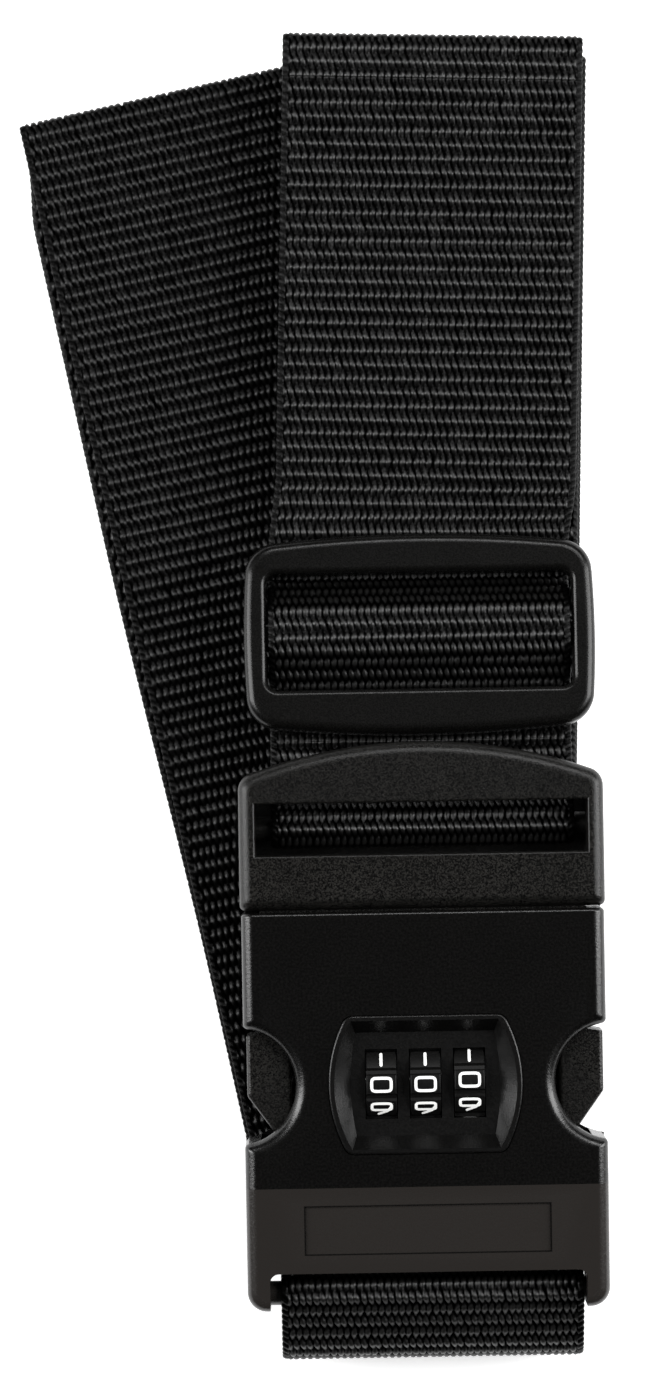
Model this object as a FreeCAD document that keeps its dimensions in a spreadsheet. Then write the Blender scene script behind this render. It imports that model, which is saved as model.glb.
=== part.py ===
"""Luggage strap with a three-dial combination buckle, folded into a flat bundle.

Millimetres. +Z is up, the bundle lies flat on z = 0, +Y runs from the buckle's sewn end to
the folded ends of the webbing, and the origin is the middle of the bundle's footprint.
Buckle pieces are drawn about their own centre line and placed at buckle_x.
"""
import FreeCAD, Part
import math
import os
import re

SIZES = {
    # webbing
    "web_width": 50.0,
    "web_thick": 1.4,
    "layer_pitch": 1.6,
    "ply_pitch": 1.5,
    # the buckle's place and its outer size
    "buckle_x": 17.9,
    "buckle_base": 11.2,
    "buckle_top": 27.2,
    "edge_round": 2.0,
    # plug
    "plug_half": 30.0,
    "plug_peak": -7.6,
    "plug_shoulder": -13.2,
    "plug_end": -35.0,
    "plug_hood_under": 24.5,
    "plug_back_wall": 1.6,
    "plug_slot_half": 27.3,
    "plug_slot_near": -17.5,
    "plug_slot_far": -26.0,
    "plug_bar_y": -21.7,
    "plug_bar_z": 18.5,
    "bar_radius": 2.0,
    "neck_half": 26.8,
    "neck_end": -40.5,
    "neck_base": 13.6,
    "neck_top": 24.6,
    # squeeze arms
    "arm_base": 14.2,
    "arm_top": 24.4,
    "latch_y": -55.3,
    "pad_half": 29.3,
    # socket
    "socket_half": 29.8,
    "socket_mouth": -35.4,
    "socket_end": -101.0,
    "cover_thick": 1.5,
    "wall": 2.0,
    "cutout_x": 30.95,
    "cutout_y": -63.8,
    "cutout_radius": 9.6,
    "crease_y": -80.6,
    "facet_drop": 1.7,
    "cavity_half": 27.2,
    "cavity_end": -79.6,
    "notch_half": 26.1,
    "notch_y": -94.7,
    "socket_bar_y": -98.6,
    "socket_bar_z": 18.0,
    # combination dials
    "dial_y": -63.8,
    "dial_z": 19.9,
    "dial_radius": 6.9,
    "dial_width": 5.0,
    "dial_pitch": 7.25,
    "dial_bore": 3.55,
    "sleeve_radius": 3.4,
    "axle_radius": 1.2,
    "running_gap": 0.05,
    "rim_height": 0.4,
    "dish_floor": 25.0,
    "floor_thick": 1.0,
    # slider
    "slider_x": 18.3,
    "slider_y": 9.8,
    "slider_under": 14.5,
    "slider_tilt": 6.0,
    "slider_thick": 5.0,
    "slider_half": 29.1,
    "slider_reach": 16.7,
    "slider_window_half": 25.4,
    "slider_bar_thick": 2.2,
}

doc = FreeCAD.newDocument("luggage_strap")
sheet = doc.addObject("Spreadsheet::Sheet", "Sizes")
for row, (alias, number) in enumerate(SIZES.items(), start=1):
    sheet.set(f"A{row}", alias)
    sheet.set(f"B{row}", str(number))
    sheet.setAlias(f"B{row}", alias)
doc.recompute()

NODES = []


def size(alias):
    """A driving dimension, read from the sheet."""
    return float(sheet.get(alias))


def bind(thing, prop, formula):
    """Binds a property to a formula written with the sheet's aliases."""
    text = re.sub(r"[a-z]+(?:_[a-z]+)*", lambda m: f"Sizes.{m[0]}" if m[0] in SIZES else m[0], formula)
    thing.setExpression(prop, text)


def vec(x, y, z=0.0):
    return FreeCAD.Vector(x, y, z)


# ---------------------------------------------------------------- PartDesign helpers


def new_body(label, on_buckle=True):
    """An empty body that will be exported under its label."""
    body = doc.addObject("PartDesign::Body", label)
    body.Label = label
    if on_buckle:
        bind(body, "Placement.Base.x", "buckle_x")
    NODES.append(body)
    return body


def new_sketch(body, role, offset="0"):
    """A sketch on one of the body's own origin planes, moved along its normal."""
    sketch = body.newObject("Sketcher::SketchObject", "Sketch")
    plane = next(p for p in body.Origin.OriginFeatures if p.Role == role)
    sketch.AttachmentSupport = (plane, [""])
    sketch.MapMode = "FlatFace"
    bind(sketch, "AttachmentOffset.Base.z", offset)
    return sketch


def draw(sketch, start, steps):
    """Draws lines and arcs: a step is an end point, or a middle point and an end point."""
    here = start
    for step in steps:
        if isinstance(step[0], tuple):
            middle, end = step
            sketch.addGeometry(Part.Arc(vec(*here), vec(*middle), vec(*end)), False)
        else:
            end = step
            sketch.addGeometry(Part.LineSegment(vec(*here), vec(*end)), False)
        here = end


def polygon(sketch, points):
    """A closed outline of straight sides."""
    draw(sketch, points[0], list(points[1:]) + [points[0]])


def rectangle(sketch, low_x, high_x, low_y, high_y):
    polygon(sketch, [(low_x, low_y), (high_x, low_y), (high_x, high_y), (low_x, high_y)])


def circle(sketch, x, y, radius):
    sketch.addGeometry(Part.Circle(vec(x, y), vec(0, 0, 1), radius), False)


def pad(body, sketch, length):
    """Adds material along the sketch's normal."""
    feature = body.newObject("PartDesign::Pad", "Pad")
    feature.Profile = sketch
    bind(feature, "Length", length)
    doc.recompute()
    return feature


def pocket(body, sketch, length, along_normal=False):
    """Cuts against the sketch's normal, or along it, and checks that it cut something."""
    before = body.Tip.Shape.Volume
    feature = body.newObject("PartDesign::Pocket", "Pocket")
    feature.Profile = sketch
    feature.Reversed = along_normal
    bind(feature, "Length", length)
    doc.recompute()
    if feature.Shape.isNull() or feature.Shape.Volume > before - 1e-6:
        raise RuntimeError(f"{body.Label}: a pocket cut nothing")
    return feature


def fillet(body, radius, wanted):
    """Rounds the edges of the body so far that a test picks."""
    base = body.Tip
    names = [f"Edge{i}" for i, edge in enumerate(base.Shape.Edges, start=1) if wanted(edge)]
    feature = body.newObject("PartDesign::Fillet", "Fillet")
    feature.Base = (base, names)
    bind(feature, "Radius", radius)
    doc.recompute()
    if not names or feature.Shape.isNull() or not feature.Shape.isValid():
        raise RuntimeError(f"{body.Label}: the {radius} mm fillet failed on {names}")
    return feature


def is_upright(edge):
    """True for a straight edge along Z."""
    box = edge.BoundBox
    return box.XLength < 1e-4 and box.YLength < 1e-4 and box.ZLength > 0.1


def lies_at(edge, height):
    """True for an edge whose whole length is at one height."""
    box = edge.BoundBox
    return abs(box.ZMin - height) < 1e-4 and abs(box.ZMax - height) < 1e-4


# ---------------------------------------------------------------- outlines


def corner_arc(before, corner, after, radius):
    """Tangent points and middle point of the arc that rounds a corner."""
    to_before = (vec(*before) - vec(*corner)).normalize()
    to_after = (vec(*after) - vec(*corner)).normalize()
    half = to_before.getAngle(to_after) / 2
    reach = radius / math.tan(half)
    first = vec(*corner) + to_before * reach
    last = vec(*corner) + to_after * reach
    inward = (to_before + to_after).normalize()
    centre = vec(*corner) + inward * (radius / math.sin(half))
    middle = centre - inward * radius
    return first, middle, last, centre


def ribbon(route, thickness):
    """Closed outline of a ply seen edge on: route is (y, z, bend radius) along its middle."""
    half = thickness / 2
    sides = []
    for side in (1, -1):
        points = []
        for i, (y, z, radius) in enumerate(route):
            if radius == 0:
                other = route[1] if i == 0 else route[i - 1]
                along = vec(other[0] - y, other[1] - z).normalize()
                if i > 0:
                    along = along * -1
                points.append((vec(y, z) + vec(-along.y, along.x) * half * side,))
                continue
            first, middle, last, centre = corner_arc(route[i - 1][:2], (y, z), route[i + 1][:2], radius)
            ahead = vec(y, z) - vec(*route[i - 1][:2])
            turn = ahead.cross(vec(*route[i + 1][:2]) - vec(y, z)).z
            bigger = radius - half * side * math.copysign(1, turn)
            points.append(tuple(centre + (p - centre) * (bigger / radius) for p in (first, middle, last)))
        sides.append(points)
    there = [(p[0],) if len(p) == 1 else (p[0], (p[1], p[2])) for p in sides[0]]
    back = [(p[0],) if len(p) == 1 else (p[2], (p[1], p[0])) for p in reversed(sides[1])]
    flat = [step for group in there + back for step in group]
    as_pair = [tuple((q.x, q.y) for q in s) if isinstance(s, tuple) else (s.x, s.y) for s in flat]
    return as_pair[0], as_pair[1:] + [as_pair[0]]


def wrap_height(point, centre, radius, over):
    """Height at a bar's far side of the line from a point that just touches the bar.

    over is 1 for a line that passes over the bar, and -1 for one that passes under it.
    """
    reach, rise = abs(centre[0] - point[0]), centre[1] - point[1]
    slope = math.atan2(rise, reach) + over * math.asin(radius / math.hypot(reach, rise))
    return point[1] + math.tan(slope) * (reach + radius)


def barrel(half_mid, half_end, half_height):
    """Outline of the dial window insert: straight ends and bowed sides."""
    start = (-half_end, half_height)
    steps = [
        (half_end, half_height),
        ((half_mid, 0.0), (half_end, -half_height)),
        (-half_end, -half_height),
        ((-half_mid, 0.0), start),
    ]
    return start, steps


def shifted(outline, dy):
    """The same outline moved along its second axis."""
    start, steps = outline

    def move(step):
        if isinstance(step[0], tuple):
            return tuple((x, y + dy) for x, y in step)
        return (step[0], step[1] + dy)

    return move(start), [move(step) for step in steps]


def bars(body, low, high, centre_y, centre_z, radius):
    """A round bar along X between two sheet formulas."""
    sketch = new_sketch(body, "YZ_Plane", low)
    circle(sketch, centre_y, centre_z, radius)
    pad(body, sketch, f"({high}) - ({low})")


# ---------------------------------------------------------------- socket


def cut_finger_recesses(body, base):
    """The round recesses at both sides where the arms are squeezed."""
    sketch = new_sketch(body, "XY_Plane", base)
    for side in (-1, 1):
        circle(sketch, side * size("cutout_x"), size("cutout_y"), size("cutout_radius"))
    pocket(body, sketch, "30", along_normal=True)


def cut_box(body, low_x, high_x, low_y, high_y, base, height):
    """A rectangular pocket upwards from a height given as a formula."""
    sketch = new_sketch(body, "XY_Plane", base)
    rectangle(sketch, low_x, high_x, low_y, high_y)
    pocket(body, sketch, height, along_normal=True)


def add_box(body, low_x, high_x, low_y, high_y, base, height):
    """A rectangular pad upwards from a height given as a formula."""
    sketch = new_sketch(body, "XY_Plane", base)
    rectangle(sketch, low_x, high_x, low_y, high_y)
    pad(body, sketch, height)


def add_post(body, x, y, radius, base, height):
    """A round pad upwards from a height given as a formula."""
    sketch = new_sketch(body, "XY_Plane", base)
    circle(sketch, x, y, radius)
    pad(body, sketch, height)


def cut_hole(body, places, radius, base, height):
    """Round holes upwards from a height given as a formula."""
    sketch = new_sketch(body, "XY_Plane", base)
    for x, y in places:
        circle(sketch, x, y, radius)
    pocket(body, sketch, height, along_normal=True)


SCREW_PLACES = ((-22.0, -87.0), (22.0, -87.0))
RESET_PLACE = (0.0, -87.0)
BEZEL_MID = 15.9
BEZEL_END = 12.9
BEZEL_REACH = 11.35


def socket_front_shell():
    body = new_body("socket_front_shell")
    base = size("buckle_base") + size("cover_thick")
    top = size("buckle_top")
    mouth, crease, end = size("socket_mouth"), size("crease_y"), size("socket_end")
    low_top = top - size("facet_drop")
    profile = new_sketch(body, "YZ_Plane", "-socket_half")
    polygon(profile, [(mouth, base), (mouth, top), (crease, top), (end, low_top), (end, base)])
    pad(body, profile, "2 * socket_half")
    fillet(body, "3.2", lambda e: is_upright(e) and e.BoundBox.YMax < end + 0.1)
    cut_finger_recesses(body, "0")
    fillet(body, "0.8", lambda e: is_upright(e) and abs(e.BoundBox.YMin - size("cutout_y")) < 12
           and abs(e.BoundBox.XMin) > size("cutout_x") - 2)
    fillet(body, "1.9", lambda e: e.BoundBox.ZMin > low_top - 0.01
           and abs(e.BoundBox.YMin - crease) + abs(e.BoundBox.YMax - crease) > 0.01
           and abs(e.BoundBox.YMin - mouth) + abs(e.BoundBox.YMax - mouth) > 0.01)
    fillet(body, "0.6", lambda e: e.BoundBox.YMin > mouth - 0.01 and e.BoundBox.ZMax > base + 1)
    hollow_the_shell(body, base, top)
    cut_front_details(body, top)
    add_inner_posts(body)


def hollow_the_shell(body, base, top):
    """The plug's cavity, the lower cavity and the open end where the webbing turns."""
    half, mouth = size("cavity_half"), size("socket_mouth")
    floor = "buckle_base + cover_thick"
    cut_box(body, -half, half, size("cavity_end"), mouth + 1, floor, "buckle_top - wall - buckle_base - cover_thick")
    cut_box(body, -half, half, -91.8, -81.2, floor, "11.2")
    notch = size("notch_half")
    cut_box(body, -notch, notch, size("socket_end") - 1, -93.6, floor, "10.8")
    bars(body, "-notch_half - 0.5", "notch_half + 0.5",
         size("socket_bar_y"), size("socket_bar_z"), size("bar_radius"))


def cut_front_details(body, top):
    """The strap notch, the shallow rectangle above it and the seat of the dial insert."""
    notch = size("notch_half")
    cut_box(body, -notch, notch, size("socket_end") - 1, size("notch_y"), "22", "buckle_top - 20")
    fillet(body, "1.5", lambda e: is_upright(e) and abs(e.BoundBox.YMin - size("notch_y")) < 0.01
           and abs(e.BoundBox.XMin) > 20)
    panel = new_sketch(body, "XY_Plane", "buckle_top + 1")
    panel.AttachmentOffset = FreeCAD.Placement(vec(0, -87.6, 0), facet_turn())
    bind(panel, "AttachmentOffset.Base.z", "buckle_top - 0.92")
    rectangle(panel, -20.2, 20.2, -4.0, 4.0)
    pocket(body, panel, "2", along_normal=True)
    seat = new_sketch(body, "XY_Plane", "buckle_top - 5")
    draw(seat, *shifted(barrel(BEZEL_MID + 0.1, BEZEL_END + 0.1, BEZEL_REACH + 0.1), size("dial_y")))
    pocket(body, seat, "8", along_normal=True)
    fillet(body, "1.9", lambda e: is_upright(e) and abs(abs(e.BoundBox.XMin) - BEZEL_END - 0.1) < 0.01)


def facet_turn():
    """The lean of the lower front facet."""
    lean = math.degrees(math.atan(size("facet_drop") / (size("crease_y") - size("socket_end"))))
    return FreeCAD.Rotation(vec(1, 0, 0), lean)


def add_inner_posts(body):
    """Screw posts and the post over the reset button's spring."""
    floor = "buckle_base + cover_thick"
    for x, y in SCREW_PLACES:
        add_post(body, x, y, 2.4, floor, "11.5")
    cut_hole(body, SCREW_PLACES, 0.95, "0", "20.6")
    add_post(body, *RESET_PLACE, 2.6, "18.1", "6.2")
    add_post(body, *RESET_PLACE, 0.9, "15.2", "3.2")


def socket_back_cover():
    body = new_body("socket_back_cover")
    half, mouth = size("socket_half"), size("socket_mouth")
    add_box(body, -half, half, -93.4, mouth, "buckle_base", "cover_thick")
    cut_finger_recesses(body, "0")
    base = size("buckle_base")
    fillet(body, "0.9", lambda e: lies_at(e, base))
    cut_hole(body, SCREW_PLACES, 1.05, "buckle_base", "cover_thick")
    cut_hole(body, SCREW_PLACES, 2.1, "buckle_base", "0.9")
    cut_hole(body, [RESET_PLACE], 1.8 + size("running_gap"), "buckle_base", "cover_thick")


def screw(name, x, y):
    """One self-tapping pan screw with a cross recess, head down."""
    head = doc.addObject("Part::Cylinder", name + "_head")
    bind(head, "Radius", "1.95")
    bind(head, "Height", "0.8")
    shank = doc.addObject("Part::Cylinder", name + "_shank")
    bind(shank, "Radius", "0.9")
    bind(shank, "Height", "9")
    blank = doc.addObject("Part::MultiFuse", name + "_blank")
    blank.Shapes = [head, shank]
    recess = doc.addObject("Part::MultiFuse", name + "_recess")
    recess.Shapes = [slot(name, 2.4, 0.55), slot(name, 0.55, 2.4)]
    cut = doc.addObject("Part::Cut", name)
    cut.Base, cut.Tool = blank, recess
    bind(cut, "Placement.Base.x", f"buckle_x + ({x})")
    bind(cut, "Placement.Base.y", f"{y}")
    bind(cut, "Placement.Base.z", "buckle_base + 0.05")
    return cut


def slot(name, length, width):
    """One arm of a cross recess."""
    arm = doc.addObject("Part::Box", name + "_slot")
    arm.Length, arm.Width, arm.Height = length, width, 0.45
    arm.Placement.Base = vec(-length / 2, -width / 2, -0.1)
    return arm


def back_cover_screws():
    """The identical screws share one node."""
    group = doc.addObject("Part::Compound", "back_cover_screws")
    group.Links = [screw(f"screw_{side}", x, y) for side, (x, y) in zip(("left", "right"), SCREW_PLACES)]
    NODES.append(group)


def coil(label, places, radius, wire, turns, height, lay_flat):
    """Compression springs as one node: helical wire with its axis along Z, or along Y."""
    helix = Part.makeHelix(height / turns, height, radius)
    section = Part.Wire(Part.Circle(vec(radius, 0), vec(0, 1, 0), wire / 2).toShape())
    one = Part.Wire(helix).makePipeShell([section], True, True)
    turn = FreeCAD.Rotation(vec(1, 0, 0), 90 if lay_flat else 0)
    shapes = []
    for x, y, z in places:
        copy = one.copy()
        copy.Placement = FreeCAD.Placement(vec(x, y, z), turn)
        shapes.append(copy)
    spring = doc.addObject("Part::Feature", label)
    spring.Label = label
    spring.Shape = Part.makeCompound(shapes) if len(shapes) > 1 else shapes[0]
    bind(spring, "Placement.Base.x", "buckle_x")
    NODES.append(spring)


# ---------------------------------------------------------------- combination lock


def dial_bezel():
    """The insert that frames the dials and carries their axle."""
    body = new_body("dial_bezel")
    row, rim_top = size("dial_y"), size("buckle_top") + size("rim_height")
    flange = new_sketch(body, "XY_Plane", "dish_floor - floor_thick")
    draw(flange, *shifted(barrel(BEZEL_MID + 1.1, BEZEL_END + 1.1, BEZEL_REACH + 1.1), row))
    pad(body, flange, "1.1")
    plug = new_sketch(body, "XY_Plane", "dish_floor - floor_thick")
    draw(plug, *shifted(barrel(BEZEL_MID, BEZEL_END, BEZEL_REACH), row))
    pad(body, plug, "buckle_top + rim_height - dish_floor + floor_thick")
    fillet(body, "1.9", lambda e: is_upright(e) and e.BoundBox.ZMax > rim_top - 0.1)
    fillet(body, "0.3", lambda e: lies_at(e, rim_top))
    cut_dish(body, row)
    cut_dial_windows(body, row)
    for side in (-1, 1):
        low, high = sorted((side * 12.2, side * 14.2))
        add_box(body, low, high, row - 3.2, row + 3.2, "17.6", "dish_floor - floor_thick - 17.5")
    add_box(body, -11.0, 11.0, -54.9, -53.9, "20.4", "dish_floor - floor_thick - 20.3")
    hole = new_sketch(body, "YZ_Plane", "0 - 15")
    circle(hole, row, size("dial_z"), size("axle_radius") + 0.02)
    pocket(body, hole, "30", along_normal=True)


def cut_dish(body, row):
    """The sloping walls inside the rim."""
    top = new_sketch(body, "XY_Plane", "buckle_top + rim_height")
    draw(top, *shifted(barrel(BEZEL_MID - 0.9, BEZEL_END - 0.75, BEZEL_REACH - 0.8), row))
    floor = new_sketch(body, "XY_Plane", "dish_floor")
    draw(floor, *shifted(barrel(12.3, 11.4, 8.5), row))
    dish = body.newObject("PartDesign::SubtractiveLoft", "Dish")
    dish.Profile = top
    dish.Sections = [floor]
    dish.Ruled = True
    doc.recompute()


def cut_dial_windows(body, row):
    windows = new_sketch(body, "XY_Plane", "dish_floor - floor_thick - 0.2")
    for i in (-1, 0, 1):
        middle = i * size("dial_pitch")
        rectangle(windows, middle - 2.65, middle + 2.65, row - 5.75, row + 5.75)
    pocket(body, windows, "2", along_normal=True)


def dial(label, place, turned):
    """A ring with ten grooves, one between each pair of digits, left turned by so many degrees."""
    body = new_body(label)
    start = f"dial_pitch * ({place}) - dial_width / 2"
    row, axis_z, radius = size("dial_y"), size("dial_z"), size("dial_radius")
    ring = new_sketch(body, "YZ_Plane", start)
    circle(ring, row, axis_z, radius)
    circle(ring, row, axis_z, size("dial_bore"))
    pad(body, ring, "dial_width")
    fillet(body, "0.25", lambda e: abs(e.Length - 2 * math.pi * radius) < 0.01)
    grooves = new_sketch(body, "YZ_Plane", start + " - 0.5")
    for i in range(10):
        angle = math.radians(36 * i + 18 + turned)
        groove = [(radius + 0.4, -1.0), (radius - 0.45, -0.3), (radius - 0.45, 0.3), (radius + 0.4, 1.0)]
        polygon(grooves, [(row + r * math.sin(angle) + t * math.cos(angle),
                           axis_z + r * math.cos(angle) - t * math.sin(angle)) for r, t in groove])
    pocket(body, grooves, "dial_width + 1", along_normal=True)


def dial_sleeve(label, place):
    """The sleeve inside a dial: its collar has a flat, the gate, that faces the lock bar."""
    body = new_body(label)
    start = f"dial_pitch * ({place}) - dial_width / 2"
    row, axis_z = size("dial_y"), size("dial_z")
    tube = new_sketch(body, "YZ_Plane", start)
    circle(tube, row, axis_z, size("sleeve_radius"))
    circle(tube, row, axis_z, size("axle_radius") + size("running_gap"))
    pad(body, tube, "dial_pitch - 0.2")
    gate = new_sketch(body, "YZ_Plane", f"dial_pitch * ({place}) + dial_width / 2 + 0.1")
    rectangle(gate, row - 4, row - size("sleeve_radius") + 0.9, axis_z - 3, axis_z + 3)
    pocket(body, gate, "3", along_normal=True)


def dial_axle():
    body = new_body("dial_axle")
    bars(body, "0 - 14.4", "14.4", size("dial_y"), size("dial_z"), size("axle_radius"))
    bars(body, "0 - 15.1", "0 - 14.4", size("dial_y"), size("dial_z"), 1.8)
    fillet(body, "0.2", lambda e: abs(e.BoundBox.XMin - 14.4) < 0.01)


def lock_bar():
    """The comb that enters the gates: three fingers, and end blocks beside the arm tips."""
    body = new_body("lock_bar")
    row = size("dial_y")
    add_box(body, -15.5, 15.5, -76.6, -74.8, "14", "7.5")
    for i in (-1, 0, 1):
        middle = i * size("dial_pitch") + 3.6
        add_box(body, middle - 0.7, middle + 0.7, -75.0, row - size("sleeve_radius") - 0.3, "dial_z - 0.8", "1.6")
    for side in (-1, 1):
        low, high = sorted((side * 14.9, side * 16.6))
        add_box(body, low, high, -76.6, -70.4, "14", "5")


def detent_spring():
    """A leaf with one tongue and one round nose for each dial."""
    body = new_body("detent_spring")
    add_box(body, -10.9, 10.9, -55.3, -55.0, "20.6", "3")
    for i in (-1, 0, 1):
        middle = i * size("dial_pitch")
        add_box(body, middle - 1.6, middle + 1.6, -55.3, -55.0, "16.4", "4.4")
        nose_y = size("dial_y") + size("dial_radius") + 0.05 + 0.85
        bars(body, f"dial_pitch * ({i}) - 1.6", f"dial_pitch * ({i}) + 1.6", nose_y, size("dial_z"), 0.85)


def reset_button():
    body = new_body("reset_button")
    add_post(body, *RESET_PLACE, 1.8, "buckle_base", "2.4")
    add_post(body, *RESET_PLACE, 2.7, "buckle_base + cover_thick + 0.1", "0.8")
    cut_box(body, -1.1, 1.1, RESET_PLACE[1] - 0.25, RESET_PLACE[1] + 0.25, "buckle_base - 0.2", "0.6")


# ---------------------------------------------------------------- plug


def plug_body():
    body = new_body("plug_body")
    half, top, base = size("plug_half"), size("buckle_top"), size("buckle_base")
    shoulder, end, peak = size("plug_shoulder"), size("plug_end"), size("plug_peak")
    outline = new_sketch(body, "XY_Plane", "buckle_base")
    draw(outline, (-half, end), [(-half, shoulder), ((0.0, peak), (half, shoulder)), (half, end), (-half, end)])
    pad(body, outline, "buckle_top - buckle_base")
    fillet(body, "3", lambda e: is_upright(e) and e.BoundBox.YMin > end - 0.1
           and abs(e.BoundBox.YMin - shoulder) < 0.1)
    fillet(body, "1", lambda e: is_upright(e) and e.BoundBox.YMax < end + 0.1)
    fillet(body, "edge_round", lambda e: lies_at(e, top) and e.BoundBox.YMax > end + 0.01)
    fillet(body, "1.2", lambda e: lies_at(e, base) and e.BoundBox.YMax > end + 1.1)
    open_the_plug(body)
    add_box(body, -size("neck_half"), size("neck_half"), size("neck_end"), end + 0.5, "neck_base",
            "neck_top - neck_base")
    add_box(body, -8.0, 8.0, -50.5, -40.0, "16.6", "3.4")
    fillet(body, "1.2", lambda e: is_upright(e) and e.BoundBox.YMax < -50)


def open_the_plug(body):
    """The webbing's cavity, the slot in the front wall and the bar that the webbing turns on."""
    half, bar_y = size("plug_slot_half"), size("plug_bar_y")
    cut_box(body, -half, half, size("plug_slot_far") - 1.2, 1.0, "buckle_base + plug_back_wall",
            "plug_hood_under - buckle_base - plug_back_wall")
    cut_box(body, -half, half, -15.2, 1.0, "buckle_base - 1", "3")
    cut_box(body, -half, half, size("plug_slot_far"), size("plug_slot_near"), "plug_hood_under - 1", "6")
    top = size("buckle_top")
    fillet(body, "0.4", lambda e: lies_at(e, top) and abs(e.BoundBox.XMin) < half + 0.01
           and e.BoundBox.YMax < size("plug_slot_near") + 0.01 and e.BoundBox.YMin > size("plug_slot_far") - 0.01)
    bars(body, "0 - plug_slot_half - 0.4", "plug_slot_half + 0.4", bar_y, size("plug_bar_z"), size("bar_radius"))


def squeeze_arm(label, side):
    """A springy arm with its latch shoulder and its finger pad."""
    body = new_body(label)
    pad_x = size("pad_half")
    points = [
        (22.6, size("neck_end") - 0.1),
        (26.7, size("neck_end") - 0.1),
        (26.7, size("latch_y")),
        (pad_x, size("latch_y") - 0.4),
        (pad_x, -65.5),
        (24.9, -71.6),
        (21.9, -71.6),
        (21.9, -60.0),
        (22.6, -52.0),
    ]
    outline = new_sketch(body, "XY_Plane", "arm_base")
    polygon(outline, [(side * x, y) for x, y in points])
    pad(body, outline, "arm_top - arm_base")
    low, high = size("arm_base"), size("arm_top")
    fillet(body, "1.2", lambda e: is_upright(e) and e.BoundBox.YMin < -56)
    fillet(body, "0.7", lambda e: (lies_at(e, high) or lies_at(e, low)) and e.BoundBox.YMin < -56)


# ---------------------------------------------------------------- slider


def slider_frame():
    """A bowed frame with a low middle bar, placed with its lower end raised."""
    body = new_body("slider_frame", on_buckle=False)
    half, reach = size("slider_half"), size("slider_reach")
    side_x, side_y = half - 0.7, reach - 1.8
    thick = size("slider_thick")
    outline = new_sketch(body, "XY_Plane")
    draw(outline, (-side_x, side_y), [
        ((0.0, reach), (side_x, side_y)),
        ((half, 0.0), (side_x, -side_y)),
        ((0.0, -reach), (-side_x, -side_y)),
        ((-half, 0.0), (-side_x, side_y)),
    ])
    pad(body, outline, "slider_thick")
    fillet(body, "5.5", is_upright)
    fillet(body, "1.6", lambda e: lies_at(e, thick))
    fillet(body, "1.0", lambda e: lies_at(e, 0.0))
    window_x = size("slider_window_half")
    cut_box(body, -window_x, window_x, -9.2, 10.3, "0 - 1", "slider_thick + 2")
    fillet(body, "1.9", lambda e: is_upright(e) and abs(abs(e.BoundBox.XMin) - window_x) < 0.01)
    fillet(body, "0.9", lambda e: lies_at(e, thick) and max(abs(e.BoundBox.XMin), abs(e.BoundBox.XMax)) < window_x + 0.01
           and max(abs(e.BoundBox.YMin), abs(e.BoundBox.YMax)) < 10.4)
    add_box(body, -window_x - 0.3, window_x + 0.3, -2.3, 2.7, "0", "slider_bar_thick")
    fillet(body, "1.0", lambda e: abs(e.BoundBox.XLength - 2 * window_x) < 0.8 and e.BoundBox.YLength < 0.01
           and -2.4 < e.BoundBox.YMin < 2.8)
    bind(body, "Placement.Base.x", "slider_x")
    bind(body, "Placement.Base.y", "slider_y")
    bind(body, "Placement.Base.z", "slider_under")
    body.Placement.Rotation = FreeCAD.Rotation(vec(1, 0, 0), -size("slider_tilt"))


# ---------------------------------------------------------------- webbing

FRONT_X = 18.75
FRONT_LEAN = 0.0332
# the sewn end's turns, then the left leg, the hidden runs and the front strip
FOLDS = [
    (19.6, -104.0),
    (-22.4, 99.7),
    (17.4, -90.0),
    (FRONT_X + 0.5 + FRONT_LEAN * 105.0, 105.0),
    (17.2, -89.5),
    (FRONT_X + 0.7 + FRONT_LEAN * 106.0, 106.0),
    (17.0, -90.5),
    (FRONT_X + FRONT_LEAN * 108.4, 108.4),
    (FRONT_X + FRONT_LEAN * 21.6, 21.6),
]
FOLD_TO_TOP_RUN = 6
TOP_FOLD = 7
FOLD_CLEARANCE = 1.7
LOOP_X = 18.6


def layer_z(layer):
    """Underside of a layer of the folded stack."""
    return layer * size("layer_pitch")


def fold_direction(i):
    """A fold runs square to the mean of the two runs that meet in it."""
    if i in (0, len(FOLDS) - 1):
        return vec(1, 0)
    at = vec(*FOLDS[i])
    out = (at - vec(*FOLDS[i - 1])).normalize() + (at - vec(*FOLDS[i + 1])).normalize()
    out = out.normalize()
    return vec(-out.y, out.x)


def run_corners(at, other, across_fold):
    """Where the two selvedges of a run meet the fold line through one of its ends."""
    along = (other - at).normalize()
    across = vec(-along.y, along.x)
    square = vec(-across_fold.y, across_fold.x)
    corners = []
    for side in (1, -1):
        offset = across * (side * size("web_width") / 2)
        corners.append(at + offset - along * (offset.dot(square) / along.dot(square)))
    return corners


def run(layer, trim_first=0.0, trim_last=0.0):
    """One flat run of webbing, from fold number layer to the next."""
    p, q = vec(*FOLDS[layer]), vec(*FOLDS[layer + 1])
    along = (q - p).normalize()
    first = run_corners(p + along * trim_first, q, fold_direction(layer))
    last = run_corners(q - along * trim_last, p, fold_direction(layer + 1))
    if (first[1] - first[0]).dot(last[1] - last[0]) > 0:
        last.reverse()
    outline = Part.makePolygon([first[0], first[1], last[0], last[1], first[0]])
    slab = Part.Face(outline).extrude(vec(0, 0, size("web_thick")))
    slab.translate(vec(0, 0, layer_z(layer)))
    return slab


def fold(i):
    """The rounded fold at the end of run i - 1, up to run i."""
    one, two = run_corners(vec(*FOLDS[i]), vec(*FOLDS[i - 1]), fold_direction(i))
    radius = (size("layer_pitch") + size("web_thick")) / 2
    span = one - two
    return Part.makeCylinder(radius, span.Length, vec(two.x, two.y, layer_z(i - 1) + radius), span)


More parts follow.
